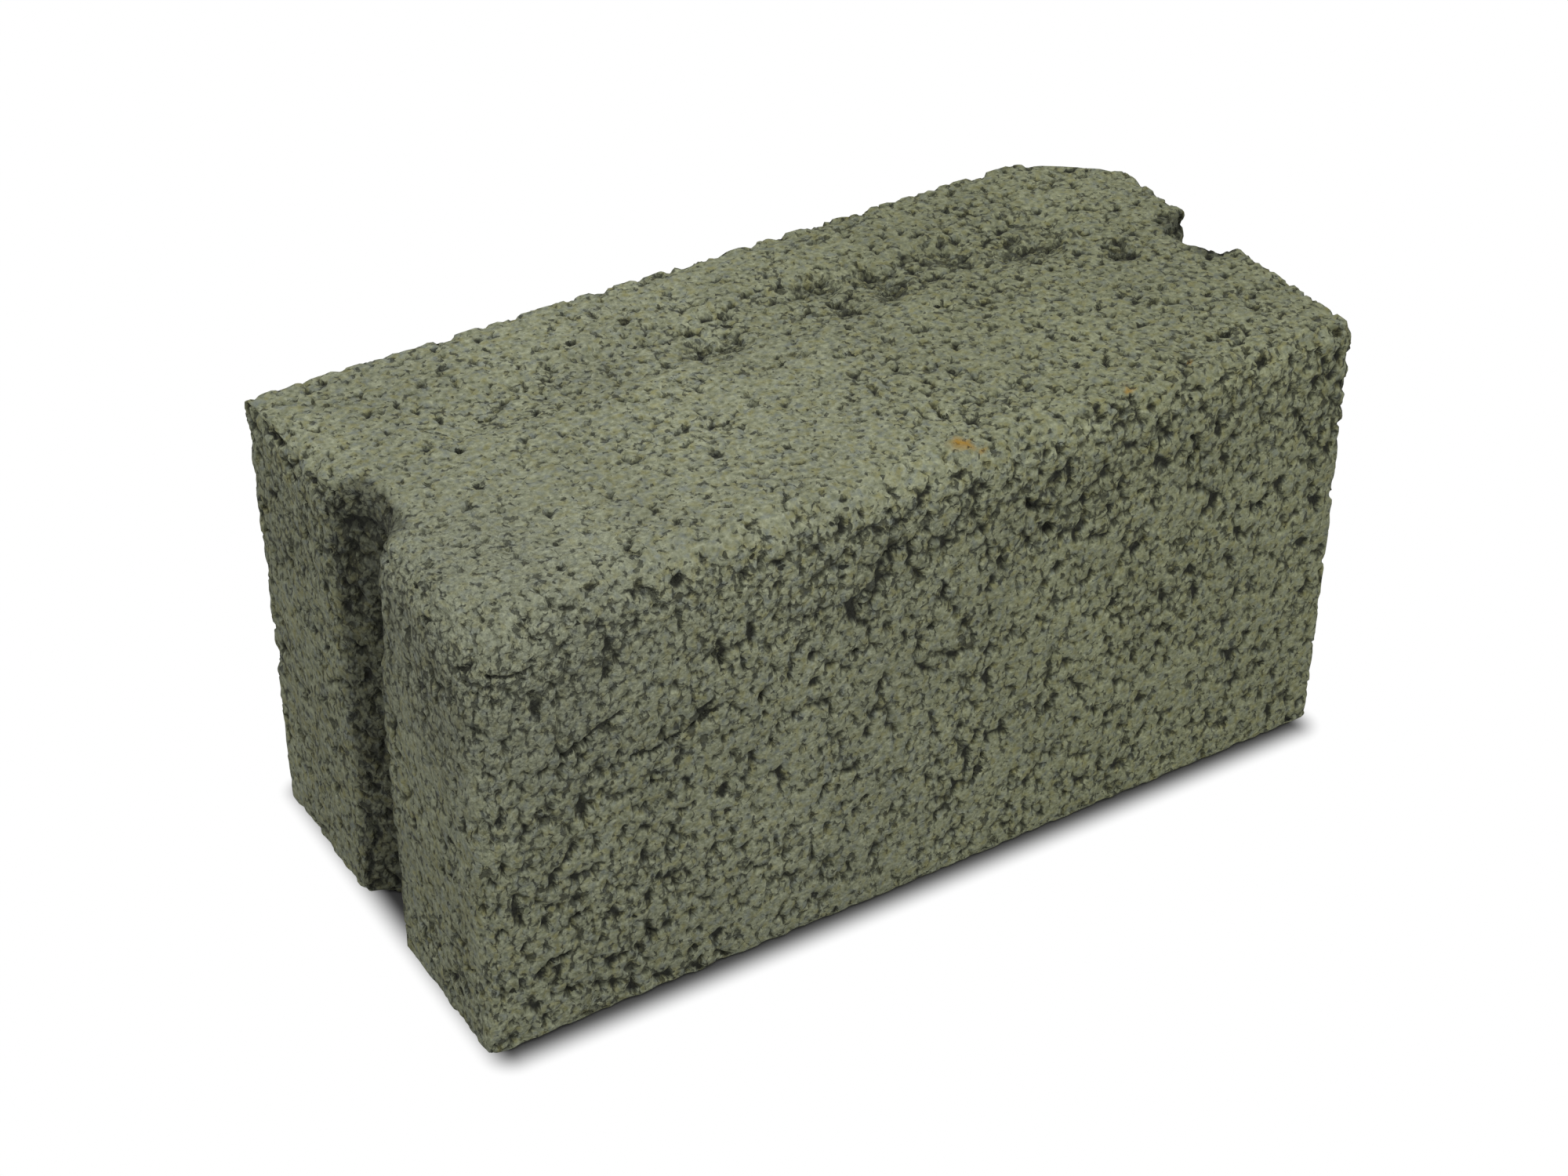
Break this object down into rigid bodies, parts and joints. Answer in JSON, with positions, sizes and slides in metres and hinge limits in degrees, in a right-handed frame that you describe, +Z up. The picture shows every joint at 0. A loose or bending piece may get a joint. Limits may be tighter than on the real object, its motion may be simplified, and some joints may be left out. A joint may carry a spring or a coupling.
{
  "type": "solid concrete block",
  "caption": "Solid oblong building block of open-textured cast concrete, with a half-round mortar groove down each end and worn corners.",
  "frame": {"origin": "centre of the bed face, the face that the block stands on", "axes": "+X along the block's length, from one grooved end to the other; +Y across its width, from the worn front face to the back; +Z up"},
  "size_m": [0.39, 0.18, 0.195],
  "materials": {
    "concrete": "matt, open-textured vibro-pressed concrete, greenish grey"
  },
  "bodies": {
    "root": {"concrete_block": "concrete"}
  },
  "joints": []
}
